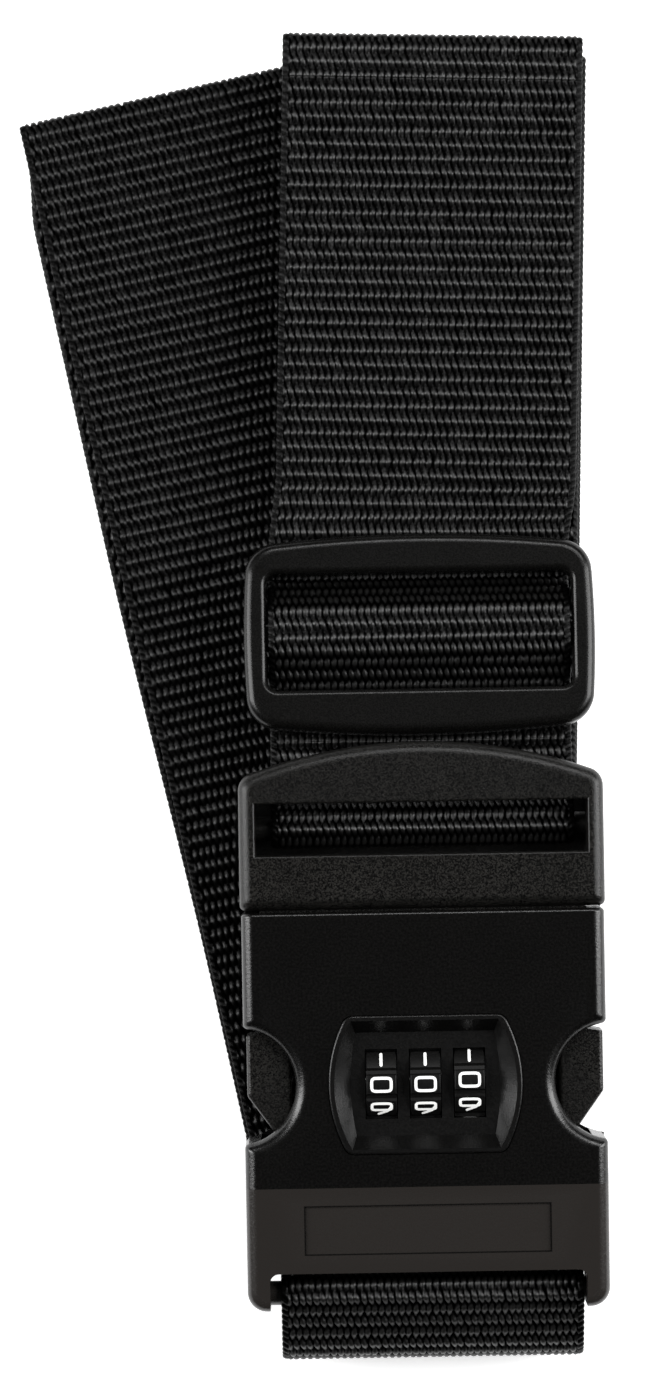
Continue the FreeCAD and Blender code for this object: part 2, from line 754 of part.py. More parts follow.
def soft_node(label, shapes):
    """One closed solid, fused from runs and folds."""
    solid = shapes[0]
    for shape in shapes[1:]:
        solid = solid.fuse(shape)
    feature = doc.addObject("Part::Feature", label)
    feature.Label = label
    feature.Shape = solid
    NODES.append(feature)


def loop_prism(route, centre_x):
    """A ply that bends only in the page's depth, drawn edge on and as wide as the webbing."""
    start, steps = ribbon(route, size("web_thick"))
    edges, here = [], start
    for step in steps:
        if isinstance(step[0], tuple):
            middle, end = step
            edges.append(Part.Arc(on_side(here), on_side(middle), on_side(end)).toShape())
        else:
            end = step
            if math.dist(here, end) > 1e-6:
                edges.append(Part.LineSegment(on_side(here), on_side(end)).toShape())
        here = end
    prism = Part.Face(Part.Wire(edges)).extrude(vec(size("web_width"), 0, 0))
    prism.translate(vec(centre_x - size("web_width") / 2, 0, 0))
    return prism


def on_side(point):
    return vec(0, point[0], point[1])


def folded_webbing():
    """Sewn end round the socket's bar, bottom loop, left leg and the hidden runs."""
    bar = (size("socket_bar_y"), size("socket_bar_z"))
    turn = size("bar_radius") + size("running_gap") + size("web_thick") / 2
    outer, inner = (-109.8, 14.6), (-108.3, 12.6)
    near = bar[0] + turn
    loop = loop_prism([
        (-103.0, 0.7, 0),
        (outer[0], 0.7, 5.5),
        (*outer, 6.0),
        (near, wrap_height(outer, bar, turn, 1), turn),
        (near, wrap_height(inner, bar, turn, -1), turn),
        (*inner, 3.5),
        (inner[0], 2.2, 4.0),
        (-92.5, 2.2, 0),
    ], LOOP_X)
    runs = [run(layer) for layer in range(FOLD_TO_TOP_RUN)]
    folds = [fold(i) for i in range(1, FOLD_TO_TOP_RUN + 1)]
    soft_node("folded_webbing", [loop] + runs + folds)


def top_run_webbing():
    top = run(FOLD_TO_TOP_RUN, trim_first=FOLD_CLEARANCE)
    soft_node("top_run_webbing", [top, fold(TOP_FOLD)])


def adjusting_webbing():
    soft_node("adjusting_webbing", [run(TOP_FOLD, trim_first=FOLD_CLEARANCE)])


def on_slider(y, z):
    """A place given along and above the slider's own tilted frame."""
    tilt = math.radians(size("slider_tilt"))
    return (size("slider_y") + y * math.cos(tilt) + z * math.sin(tilt),
            size("slider_under") - y * math.sin(tilt) + z * math.cos(tilt))


def slider_webbing():
    """The ply over the middle bar, and the sewn end that turns back round that bar."""
    gap = size("running_gap") + size("web_thick") / 2 + 0.1
    low, high = -gap, size("slider_bar_thick") + gap
    crest = high + size("ply_pitch")
    far, turn, stop = 2.7 + gap, 1.8, -7.3
    running = loop_prism([
        (21.5, 11.9, 0),
        (19.2, 11.9, 2.2),
        (*on_slider(4.2, crest), 2.4),
        (*on_slider(-2.0, crest), 3.0),
        (1.4, 14.65, 2.0),
        (stop, 14.65, 0),
    ], size("slider_x"))
    turned = loop_prism([
        (stop, 11.75, 0),
        (2.0, 11.75, 4.0),
        (*on_slider(-1.3, low), 6.0),
        (*on_slider(far, low), turn),
        (*on_slider(far, high), turn),
        (*on_slider(-1.9, high), 1.5),
        (1.0, 13.2, 1.2),
        (stop, 13.2, 0),
    ], size("slider_x"))
    soft_node("slider_webbing", [running, turned])


def plug_webbing():
    """The two legs of the loop round the plug's bar."""
    bar = (size("plug_bar_y"), size("plug_bar_z"))
    turn = size("bar_radius") + size("running_gap") + size("web_thick") / 2
    front, back = (-8.6, 14.65), (-8.4, 11.75)
    far = bar[0] - turn
    loop = loop_prism([
        (-7.4, front[1], 0),
        (*front, 2.0),
        (far, wrap_height(front, bar, turn, 1), turn),
        (far, wrap_height(back, bar, turn, -1), turn),
        (*back, 3.0),
        (-7.4, back[1], 0),
    ], size("buckle_x") + 0.4)
    soft_node("plug_webbing", [loop])


def stitching(label, centre_x, rows, base, height):
    """Rows of thread through two plies, one short bar for each stitch."""
    stitches = []
    for y in rows:
        for i in range(-7, 8):
            stitch = Part.makeBox(2.1, 0.7, height, vec(centre_x + 3.0 * i - 1.05, y - 0.35, base))
            stitches.append(stitch)
    feature = doc.addObject("Part::Feature", label)
    feature.Label = label
    feature.Shape = Part.makeCompound(stitches)
    NODES.append(feature)


# ---------------------------------------------------------------- build, check and write

DIALS = (("left", -1, 0.0), ("middle", 0, 0.0), ("right", 1, 5.0))

socket_front_shell()
socket_back_cover()
back_cover_screws()
dial_bezel()
dial_axle()
for name, place, turned in DIALS:
    dial(f"{name}_dial", place, turned)
    dial_sleeve(f"{name}_dial_sleeve", place)
detent_spring()
lock_bar()
coil("lock_bar_springs", [(-9.0, -76.8, 17.6), (9.0, -76.8, 17.6)], 1.1, 0.3, 6, 2.6, lay_flat=True)
reset_button()
coil("reset_spring", [(*RESET_PLACE, 13.9)], 1.3, 0.3, 6, 3.6, lay_flat=False)
plug_body()
squeeze_arm("left_arm", -1)
squeeze_arm("right_arm", 1)
slider_frame()
folded_webbing()
top_run_webbing()
adjusting_webbing()
slider_webbing()
plug_webbing()
stitching("socket_end_stitching", LOOP_X, (-94.5, -97.5, -100.5), 0.05, 2.8)
stitching("slider_end_stitching", size("slider_x"), (-5.8, -3.4), 11.2, 2.5)
doc.recompute()

for thing in doc.Objects:
    if "Invalid" in thing.State or "Error" in thing.State:
        raise RuntimeError(f"{thing.Label} failed: {thing.State}")
os.makedirs("parts", exist_ok=True)
for node in NODES:
    shape = node.Shape
    if shape.isNull() or not shape.isValid() or not shape.Solids:
        raise RuntimeError(f"{node.Label} has no valid solid")
    shape.exportStep(f"parts/{node.Label}.step")
    print(node.Label, len(shape.Solids), round(shape.Volume, 1))
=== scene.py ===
"""The looks of a folded luggage strap with a combination-lock buckle and a slider.

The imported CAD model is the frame. Its hard parts keep their meshes and get procedural plastics and
steel. Its soft solids are replaced by one continuous webbing, woven in the mesh itself and cut into
pieces where the strap crosses a joint. Lengths are in millimetres until a mesh is made.
"""

import math

import bpy
import numpy as np
from mathutils import Euler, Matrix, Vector


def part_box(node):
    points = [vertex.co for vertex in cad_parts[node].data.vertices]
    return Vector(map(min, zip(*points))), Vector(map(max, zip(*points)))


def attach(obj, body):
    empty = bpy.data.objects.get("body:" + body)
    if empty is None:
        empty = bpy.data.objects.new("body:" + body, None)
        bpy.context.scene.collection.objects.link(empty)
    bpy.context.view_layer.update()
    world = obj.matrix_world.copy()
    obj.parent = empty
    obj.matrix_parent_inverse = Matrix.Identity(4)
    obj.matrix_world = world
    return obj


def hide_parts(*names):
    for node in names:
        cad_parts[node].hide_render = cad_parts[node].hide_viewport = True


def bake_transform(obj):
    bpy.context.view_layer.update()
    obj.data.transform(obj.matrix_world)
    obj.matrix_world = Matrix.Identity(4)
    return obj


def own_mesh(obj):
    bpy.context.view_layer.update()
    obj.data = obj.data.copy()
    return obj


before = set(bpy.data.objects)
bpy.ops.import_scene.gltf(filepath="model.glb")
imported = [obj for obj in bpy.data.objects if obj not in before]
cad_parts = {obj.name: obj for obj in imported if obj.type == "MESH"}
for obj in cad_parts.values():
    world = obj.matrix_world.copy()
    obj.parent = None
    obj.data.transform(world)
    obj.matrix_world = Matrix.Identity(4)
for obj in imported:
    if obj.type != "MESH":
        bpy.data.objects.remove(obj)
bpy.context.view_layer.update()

MM = 0.001


def node_box(node):
    """Lowest and highest corner of a CAD node, in millimetres."""
    low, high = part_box(node)
    return np.array(low) / MM, np.array(high) / MM


def at_mm(x, y, z):
    return (x * MM, y * MM, z * MM)


def linked(name, data):
    """A new object of this data, in the scene."""
    made = bpy.data.objects.new(name, data)
    bpy.context.scene.collection.objects.link(made)
    return made


def lengths_along(points):
    """The length from the first point to each point of a line."""
    gaps = np.linalg.norm(np.diff(points, axis=0), axis=1)
    return np.concatenate([[0.0], np.cumsum(gaps)])


# ---------------------------------------------------------------- the strap's path

WEB_WIDTH = 50.0
HALF_WIDTH = WEB_WIDTH / 2
WEB_THICK = 1.4
LAYER_PITCH = 1.6
FRONT_X = 18.75
FRONT_LEAN = 0.0332
# where the middle of the strap meets each fold, from the back leg to the slider
FOLDS = np.array([
    (19.6, -104.0),
    (-22.65, 100.9),
    (17.4, -90.0),
    (FRONT_X + 0.5 + FRONT_LEAN * 105.0, 105.0),
    (17.2, -89.5),
    (FRONT_X + 0.7 + FRONT_LEAN * 106.0, 106.0),
    (17.0, -90.5),
    (FRONT_X + FRONT_LEAN * 108.8, 108.8),
    (FRONT_X + FRONT_LEAN * 21.6, 21.6),
])
LOOP_X = 18.6
SLIDER_X = 18.3
SLIDER_Y = 9.8
SLIDER_UNDER = 14.5
SLIDER_TILT = math.radians(6.0)
SLIDER_BAR_THICK = 2.2
BAR_TURN = 2.75
SOCKET_BAR = (-98.6, 18.0)
PLUG_BAR = (-21.7, 18.5)
FRONT_END_Y = 40.0
FRONT_WAVE = 0.8
FRONT_WAVES = 2.5
# the back leg moves aside over these lengths, and back again close to its fold
BACK_LEG_ASIDE = 1.4
ASIDE_START = 60.0
ASIDE_RAMP = 80.0
ASIDE_BEFORE_FOLD = 5.0
ASIDE_RETURN = 12.0
LOOP_BLEND = 18.0
FOLD_RADIUS = LAYER_PITCH / 2
FOLD_ARC = math.pi * FOLD_RADIUS
FOLD_REACH = 20.0
# the front strip's lean is turned out of the strap on its way to the slider
LEAN_RAMP = 16.0
LEAN_START_Y = FRONT_END_Y - 3.0
UPRIGHT_PAST = 70.0


def smoothstep(t):
    t = np.clip(t, 0.0, 1.0)
    return t * t * (3.0 - 2.0 * t)


def rounded(route, step=0.1):
    """Points along a route of (y, z, bend radius), with its corners rounded."""
    points = [np.array(route[0][:2])]
    for before, corner, after in zip(route, route[1:], route[2:]):
        at = np.array(corner[:2])
        to_before = np.array(before[:2]) - at
        to_after = np.array(after[:2]) - at
        to_before /= np.linalg.norm(to_before)
        to_after /= np.linalg.norm(to_after)
        half = math.acos(np.clip(to_before @ to_after, -1, 1)) / 2
        inward = to_before + to_after
        centre = at + inward / np.linalg.norm(inward) * corner[2] / math.sin(half)
        first = at + to_before * corner[2] / math.tan(half) - centre
        sweep = math.pi - 2 * half
        turn = np.sign(to_after[0] * to_before[1] - to_after[1] * to_before[0])
        count = max(3, int(sweep * corner[2] / step))
        for angle in np.linspace(0, sweep, count) * turn:
            c, s = math.cos(angle), math.sin(angle)
            turned = np.array([c * first[0] - s * first[1], s * first[0] + c * first[1]])
            points.append(centre + turned)
    points.append(np.array(route[-1][:2]))
    return np.array(points)


class Route:
    """A route in the strap's depth, read by the length along it."""

    def __init__(self, route):
        self.points = rounded(route)
        self.lengths = lengths_along(self.points)

    def at(self, length):
        y = np.interp(length, self.lengths, self.points[:, 0])
        z = np.interp(length, self.lengths, self.points[:, 1])
        return y, z


def wrap_height(point, centre, radius, over):
    """Height at a bar's far side of the line from a point that just touches the bar."""
    reach, rise = abs(centre[0] - point[0]), centre[1] - point[1]
    slope = math.atan2(rise, reach) + over * math.asin(radius / math.hypot(reach, rise))
    return point[1] + math.tan(slope) * (reach + radius)


def on_slider(y, z):
    """A place given along and above the slider's own tilted frame."""
    c, s = math.cos(SLIDER_TILT), math.sin(SLIDER_TILT)
    return (SLIDER_Y + y * c + z * s, SLIDER_UNDER - y * s + z * c)


def bottom_loop_route():
    """From the sewn end, round the socket's bar and down to the back leg."""
    outer, inner = (-109.8, 14.6), (-108.3, 12.6)
    near = SOCKET_BAR[0] + BAR_TURN
    return Route([
        (-92.5, 2.2, 0),
        (inner[0], 2.2, 4.0),
        (*inner, 3.5),
        (near, wrap_height(inner, SOCKET_BAR, BAR_TURN, -1), BAR_TURN),
        (near, wrap_height(outer, SOCKET_BAR, BAR_TURN, 1), BAR_TURN),
        (*outer, 6.0),
        (outer[0], 0.7, 5.5),
        (-40.0, 0.7, 0),
    ])


def buckle_route():
    """From the front strip over the slider's bar, round the plug's bar and back to the sewn end."""
    gap = 0.85
    low, high = -gap, SLIDER_BAR_THICK + gap
    crest = high + 1.5
    far, turn = 2.7 + gap, 1.8
    front, back = (-8.6, 14.65), (-8.4, 11.75)
    plug_far = PLUG_BAR[0] - BAR_TURN
    return Route([
        (FRONT_END_Y, 11.9, 0),
        (19.2, 11.9, 2.2),
        (*on_slider(4.2, crest), 2.4),
        (*on_slider(-2.0, crest), 3.0),
        (1.4, 14.65, 2.0),
        (*front, 2.0),
        (plug_far, wrap_height(front, PLUG_BAR, BAR_TURN, 1), BAR_TURN),
        (plug_far, wrap_height(back, PLUG_BAR, BAR_TURN, -1), BAR_TURN),
        (*back, 3.0),
        (2.0, 11.75, 4.0),
        (*on_slider(-1.3, low), 6.0),
        (*on_slider(far, low), turn),
        (*on_slider(far, high), turn),
        (*on_slider(-1.9, high), 1.5),
        (1.0, 13.2, 1.2),
        (-7.3, 13.2, 0),
    ])


class Strap:
    """The whole strap: gives the middle of its thickness at any length and place across."""

    def __init__(self):
        self.loop = bottom_loop_route()
        self.buckle = buckle_route()
        self.start = -self.loop.lengths[-1] + (-40.0 - FOLDS[0][1])
        self.runs = []
        self.plan_folds()
        last = self.runs[-1]
        self.joint = last["start"] + (FOLDS[7][1] - FRONT_END_Y) / -last["along"][1]
        self.end = self.joint + self.buckle.lengths[-1]

    def plan_folds(self):
        """Each run's start length and directions along and across, and its fold's outward side."""
        along = FOLDS[1] - FOLDS[0]
        span = np.linalg.norm(along)
        along = along / span
        across = np.array([along[1], -along[0]])
        at, length = FOLDS[0], 0.0
        self.runs.append({"at": at, "start": length, "along": along, "across": across, "out": None})
        for i in range(1, len(FOLDS) - 1):
            nxt = FOLDS[i + 1] - FOLDS[i]
            next_span = np.linalg.norm(nxt)
            out = along - nxt / next_span
            out = out / np.linalg.norm(out)
            length += span
            bend = FOLD_ARC / (along @ out)
            slip = bend * (along - (along @ out) * out)
            fold_start = length
            along, span = nxt / next_span, next_span
            across = across - 2 * (across @ out) * out
            length += bend
            self.runs.append({"at": FOLDS[i], "start": length, "along": along, "across": across,
                              "out": out, "fold_start": fold_start, "slip": slip})

    def on_run(self, i, s, u):
        run = self.runs[i]
        return run["at"] + run["along"] * (s - run["start"])[..., None] + run["across"] * u[..., None]

    def back_leg(self, s, u):
        """The first run in plan, moved aside along its middle part."""
        fold = self.runs[1]["fold_start"]
        leaving = smoothstep((s - ASIDE_START) / ASIDE_RAMP)
        coming_back = smoothstep((fold - ASIDE_BEFORE_FOLD - s) / ASIDE_RETURN)
        aside = BACK_LEG_ASIDE * leaving * coming_back
        return self.on_run(0, s, u) - self.runs[0]["across"] * aside[..., None]

    def stack(self, s, u):
        """The folded part, from the back leg to the front strip."""
        plan = self.back_leg(s, u)
        z = np.full(s.shape, WEB_THICK / 2)
        for i in range(1, len(self.runs)):
            run = self.runs[i]
            before = self.on_run(i - 1, s, u)
            beyond = (before - run["at"]) @ run["out"]
            past = (s > run["fold_start"] - FOLD_REACH) & (beyond > 0)
            t = np.clip(beyond, 0, FOLD_ARC)
            bend = t / FOLD_RADIUS
            share = (t / FOLD_ARC)[..., None]
            curved = (before + run["out"] * (FOLD_RADIUS * np.sin(bend) - beyond)[..., None]
                      - run["slip"] * share)
            straight = self.on_run(i, s, u)
            folded = np.where((beyond < FOLD_ARC)[..., None], curved, straight)
            plan = np.where(past[..., None], folded, plan)
            rise = WEB_THICK / 2 + (i - 1) * LAYER_PITCH + FOLD_RADIUS * (1 - np.cos(bend))
            z = np.where(past, rise, z)
        return np.concatenate([plan, z[..., None]], axis=-1)

    def front_wave(self, s):
        """Height of the front strip's shallow waves, which die out at its ends."""
        last = self.runs[-1]["start"]
        share = np.clip((s - last) / (self.joint - last), 0, 1)
        swell = np.sin(math.pi * share) ** 2
        return FRONT_WAVE * swell * np.sin(FRONT_WAVES * math.pi * share) ** 2

    def through_buckle(self, s, u):
        """The part that passes the slider and the plug, and loses the front strip's lean there."""
        y, z = self.buckle.at(s - self.joint)
        turned = smoothstep((LEAN_START_Y - y) / LEAN_RAMP)
        turned = np.where(s - self.joint > UPRIGHT_PAST, 1.0, turned)
        lean = math.atan(FRONT_LEAN) * (1 - turned)
        line = FRONT_X + FRONT_LEAN * y
        centre = line + (SLIDER_X - line) * turned
        return np.stack([centre + u * np.cos(lean), y - u * np.sin(lean), z], axis=-1)

    def middle(self, s, u):
        """Points in the middle of the strap's thickness."""
        y, z = self.loop.at(s - self.start)
        looped = np.stack([LOOP_X + u, y, z], axis=-1)
        folded = looped + (self.stack(s, u) - looped) * smoothstep(s / LOOP_BLEND)[..., None]
        folded[..., 2] += self.front_wave(s)
        return np.where((s > self.joint)[..., None], self.through_buckle(s, u), folded)


strap = Strap()


# ---------------------------------------------------------------- the weave

FLOAT_PITCH = WEB_WIDTH / 44
FLOAT_REACH = 1.6
FLOAT_HALF_WIDTH = 0.55
ROW_PITCH = 2.3
ODD_ROW_LEAN = 0.17
EVEN_ROW_LEAN = -0.07
CROWN = 0.12
RELIEF = 0.6
GROOVE_DEPTH = 0.3
GROOVE_SHARE = 0.14
SELVEDGE = 1.0
SELVEDGE_LOW = 0.25
SELVEDGE_RISE = 0.5
SELVEDGE_SLANT = 0.6
# the selvedge's share of the float height that drives the colour and gloss: its edges painted darker
# and less glossy
SELVEDGE_PAINTED_LIGHT_AND_GLOSS = 0.6
EDGE_LOOP = 0.16
EDGE_ROUND = 0.65
EDGE_FADE = 0.3
# each float's own share of sideways shift, of reach and of width
SHIFT_JITTER = 0.045
REACH_JITTER = 0.05
WIDTH_JITTER = 0.02
ROW_SPAN, COLUMN_SPAN = 797, 53
rng = np.random.default_rng(7)
JITTER = rng.normal(0.0, 1.0, (ROW_SPAN, COLUMN_SPAN, 3))
FINE_STEP = ROW_PITCH / 8
EDGE_STEP = ROW_PITCH / 6


def floats_of_row(s, u, row):
    """Height of one row of floats: pointed ridges, staggered and leaning from row to row."""
    odd = np.mod(row, 2)
    along = s - (row + 0.5) * ROW_PITCH
    lean = np.where(odd == 1, ODD_ROW_LEAN, EVEN_ROW_LEAN)
    place = (u + HALF_WIDTH) / FLOAT_PITCH - odd * 0.5 - lean * along
    column = np.floor(place)
    jitter = JITTER[np.mod(row, ROW_SPAN).astype(int), np.mod(column, COLUMN_SPAN).astype(int)]
    off = (place - column - 0.5 + SHIFT_JITTER * jitter[..., 0]) * FLOAT_PITCH
    reach = FLOAT_REACH * (1 + REACH_JITTER * jitter[..., 1])
    t = np.clip(np.abs(along) / reach, 0, 1)
    width = (FLOAT_HALF_WIDTH + WIDTH_JITTER * jitter[..., 2]) * (1 - t ** 1.5)
    round_off = np.sqrt(np.clip(1 - np.abs(off / np.maximum(width, 1e-3)) ** 3, 0, 1))
    ridge = 1 - np.sqrt(t ** 2 + CROWN ** 2) + CROWN
    return round_off * np.clip(ridge, 0, 1)


def edge_loops(s):
    """The selvedge's loops along the strap, from 0 between them to 1 on their crowns."""
    return np.abs(np.sin(math.pi * s / (ROW_PITCH / 2)))


def weave(s, u):
    """Relief of the webbing's face, from 0 in the gaps to 1 on the crown of a float."""
    row = np.floor(s / ROW_PITCH)
    height = np.maximum.reduce([floats_of_row(s, u, row + k) for k in (-1, 0, 1)])
    pair = np.abs(np.mod(s / (2 * ROW_PITCH), 1.0) - 0.5) * 2
    in_groove = np.clip((pair - (1 - GROOVE_SHARE)) / GROOVE_SHARE, 0, 1)
    height = height * (1 - GROOVE_DEPTH * in_groove)
    edge = np.abs(u) - (HALF_WIDTH - SELVEDGE)
    loops = SELVEDGE_LOW + SELVEDGE_RISE * edge_loops(s + SELVEDGE_SLANT * edge)
    return np.where(edge > 0, loops, height)


def half_thickness(u):
    """The webbing's edges are rounded."""
    past = np.clip((np.abs(u) - (HALF_WIDTH - EDGE_ROUND)) / EDGE_ROUND, 0, 0.995)
    return WEB_THICK / 2 * np.sqrt(1 - past ** 2)


def columns(fine):
    """Places across: this many for each float over the whole face, or only along its edges for 0."""
    tips = HALF_WIDTH - EDGE_ROUND * (1 - np.cos(np.linspace(0, math.pi / 2, 5)))
    if fine:
        count = int(round(WEB_WIDTH / (FLOAT_PITCH / fine)))
        inner = np.linspace(-HALF_WIDTH, HALF_WIDTH, count + 1)
    else:
        near = np.arange(HALF_WIDTH - 3.4, HALF_WIDTH, 0.24)
        middle = np.linspace(4 - HALF_WIDTH, HALF_WIDTH - 4, 15)
        inner = np.concatenate([-near, near, middle])
    inner = inner[np.abs(inner) < tips.min() - 0.05]
    return np.unique(np.concatenate([-tips, inner, tips]))


def rows(start, end, step, fine_spans=()):
    """Lengths along the strap, closer together inside the fine spans."""
    lengths = [start]
    while lengths[-1] < end - 1e-6:
        here = lengths[-1]
        fine = any(low - step < here < high for low, high in fine_spans)
        lengths.append(min(here + (FINE_STEP if fine else step), end))
    return np.array(lengths)


def normals(points):
    """Unit normals of a grid of points."""
    along = np.gradient(points, axis=0)
    across = np.gradient(points, axis=1)
    n = np.cross(along, across)
    return n / np.maximum(np.linalg.norm(n, axis=-1, keepdims=True), 1e-9)


def face_grid(lengths, places):
    """One face of the strap with its relief; places in falling order give the other face."""
    s, u = np.meshgrid(lengths, places, indexing="ij")
    outer = np.clip(np.abs(u) - (HALF_WIDTH - SELVEDGE), 0, 1)
    looped = u + np.sign(u) * outer * EDGE_LOOP * (edge_loops(s + SELVEDGE_SLANT) - 0.5)
    middle = strap.middle(s, looped)
    height = weave(s, u)
    tip = np.clip((HALF_WIDTH - np.abs(u)) / EDGE_FADE, 0, 1)
    lift = half_thickness(u) - RELIEF * (1 - height) * tip
    return middle + normals(middle) * lift[..., None], height, s, u


def tube_mesh(name, points):
    """A closed mesh of rings of points, one ring after another, with a face over each end."""
    count, around = points.shape[:2]
    index = np.arange(count * around).reshape(count, around)
    ahead = np.roll(index, -1, axis=1)
    quads = np.stack([index[:-1], index[1:], ahead[1:], ahead[:-1]], axis=-1).reshape(-1, 4)
    loops = np.concatenate([quads.ravel(), index[0], index[-1][::-1]])
    cap_starts = len(quads) * 4 + np.array([0, around])
    starts = np.concatenate([np.arange(len(quads)) * 4, cap_starts])
    mesh = bpy.data.meshes.new(name)
    mesh.vertices.add(count * around)
    mesh.vertices.foreach_set("co", (points * MM).astype(np.float32).ravel())
    mesh.loops.add(len(loops))
    mesh.loops.foreach_set("vertex_index", loops.astype(np.int32))
    mesh.polygons.add(len(starts))
    mesh.polygons.foreach_set("loop_start", starts.astype(np.int32))
    mesh.polygons.foreach_set("use_smooth", np.ones(len(starts), bool))
    mesh.update(calc_edges=True)
    return mesh


def store(mesh, name, kind, field, values):
    """Keeps values at the mesh's points, for its material to read."""
    attribute = mesh.attributes.new(name, kind, "POINT")
    attribute.data.foreach_set(field, values.astype(np.float32).ravel())


def webbing_piece(name, lengths, fine=6, back_fine=0, painted_light_and_gloss=1.0):
    """A closed mesh of the strap between the first and the last of these lengths."""
    front, back = columns(fine), columns(back_fine)[::-1]
    grids = [face_grid(lengths, front), face_grid(lengths, back)]
    points, height, s, u = (np.concatenate([a, b], axis=1) for a, b in zip(*grids))
    mesh = tube_mesh(name, points)
    # the stored heights drive the painted shade and the gloss; the piece's scale and the selvedge's
    # share darken the colour and lower the gloss
    selvedge = np.abs(u) > HALF_WIDTH - SELVEDGE
    proud = painted_light_and_gloss * np.where(selvedge, SELVEDGE_PAINTED_LIGHT_AND_GLOSS * height, height)
    store(mesh, "proud", "FLOAT", "value", proud)
    place = np.stack([u, s, np.zeros_like(s)], axis=-1)
    store(mesh, "flat_place", "FLOAT_VECTOR", "vector", place)
    mesh.validate()
    piece = linked(name, mesh)
    piece.data.materials.append(WEBBING)
    return piece


# ---------------------------------------------------------------- materials

shell_low, shell_high = node_box("socket_front_shell")
# the crease above the socket's lower facet; below it the colour is painted paler, a painted reflection
CREASE_Y = -80.6
# the shallow rectangle in the lower facet, with shade painted round its corner: middle x and y, half
# its width and half its height
RECESS = ((shell_low[0] + shell_high[0]) / 2, -87.6, 20.2, 4.0)
EDGE_WEAR = 0.25
# painted light: how strongly the dials' print glows of its own
PRINT_GLOW = 0.3
FLOOR_GLOW = 0.58


class Nodes:
    """A material's node tree, with short calls to add and join nodes."""

    def __init__(self, name):
        self.material = bpy.data.materials.new(name)
        self.material.use_nodes = True
        self.tree = self.material.node_tree
        self.shader = self.tree.nodes["Principled BSDF"]

    def add(self, kind, **settings):
        node = self.tree.nodes.new(kind)
        for key, value in settings.items():
            setattr(node, key, value)
        return node

    def feed(self, socket, value):
        if hasattr(value, "node"):
            self.tree.links.new(value, socket)
        else:
            socket.default_value = value

    def compute(self, operation, a, b=0.0):
        node = self.add("ShaderNodeMath", operation=operation)
        self.feed(node.inputs[0], a)
        self.feed(node.inputs[1], b)
        return node.outputs[0]

    def ramp(self, value, stops):
        """A colour ramp of (place, grey or colour) stops."""
        node = self.add("ShaderNodeValToRGB")
        band = node.color_ramp
        while len(band.elements) < len(stops):
            band.elements.new(0.5)
        for element, (place, colour) in zip(band.elements, stops):
            element.position = place
            rgb = (colour,) * 3 if isinstance(colour, float) else colour
            element.color = (*rgb, 1)
        self.feed(node.inputs[0], value)
        return node.outputs[0]

    def stretched(self, vector, scale):
        node = self.add("ShaderNodeMapping")
        self.feed(node.inputs["Vector"], vector)
        node.inputs["Scale"].default_value = scale
        return node.outputs[0]

    def place(self, scale=(1.0, 1.0, 1.0)):
        """Object coordinates in millimetres, stretched by scale."""
        coords = self.add("ShaderNodeTexCoord")
        return self.stretched(coords.outputs["Object"], [1000 * x for x in scale])

    def noise(self, place, scale, detail=2.0, rough=0.5):
        node = self.add("ShaderNodeTexNoise")
        self.feed(node.inputs["Vector"], place)
        node.inputs["Scale"].default_value = scale
        node.inputs["Detail"].default_value = detail
        node.inputs["Roughness"].default_value = rough
        return node.outputs["Fac"]

    def bump(self, height, depth):
        """Depth is in millimetres."""
        node = self.add("ShaderNodeBump")
        node.inputs["Strength"].default_value = 1.0
        node.inputs["Distance"].default_value = depth * MM
        self.feed(node.inputs["Height"], height)
        return node.outputs[0]

    def mixed(self, share, first, second, blend="MIX"):
        """One colour mixed into another; the numbered inputs are a Mix node's colours."""
        node = self.add("ShaderNodeMix", data_type="RGBA", blend_type=blend)
        self.feed(node.inputs[0], share)
        self.feed(node.inputs[6], first)
        self.feed(node.inputs[7], second)
        return node.outputs[2]

    def multiplied(self, colour, by):
        return self.mixed(1.0, colour, by, "MULTIPLY")

    def glow(self, colour, strength):
        self.feed(self.shader.inputs["Emission Color"], colour)
        self.feed(self.shader.inputs["Emission Strength"], strength)

    def paint_facet_light(self, place, tone, facet):
        """Paints the part below the crease paler, a painted reflection of the light that the tilted
        facet catches, with painted shade round the shallow rectangle.
        """
        split = self.add("ShaderNodeSeparateXYZ")
        self.feed(split.inputs[0], place)
        below = self.compute("LESS_THAN", split.outputs["Y"], CREASE_Y)
        return self.painted_recess_shade(split, self.mixed(below, tone, (*facet, 1.0)))

    def painted_recess_shade(self, split, tone):
        """Paints shade into the thin corner round the shallow rectangle in the lower facet: a dark
        line where the recess is in shade.
        """
        centre_x, centre_y, half_x, half_y = RECESS
        gaps = []
        for axis, centre, half in (("X", centre_x, half_x), ("Y", centre_y, half_y)):
            off = self.compute("ABSOLUTE", self.compute("SUBTRACT", split.outputs[axis], centre))
            gaps.append(self.compute("SUBTRACT", off, half))
        rim = self.compute("ABSOLUTE", self.compute("MAXIMUM", *gaps))
        # painted shade: dark along the rectangle's edge
        shade = self.ramp(rim, [(0.06, 0.12), (0.16, 1.0)])
        return self.multiplied(tone, shade)

    def set(self, **values):
        names = {"colour": "Base Color", "rough": "Roughness", "normal": "Normal",
                 "metal": "Metallic", "gloss": "Specular IOR Level"}
        for key, value in values.items():
            self.feed(self.shader.inputs[names[key]], value)
        return self.material


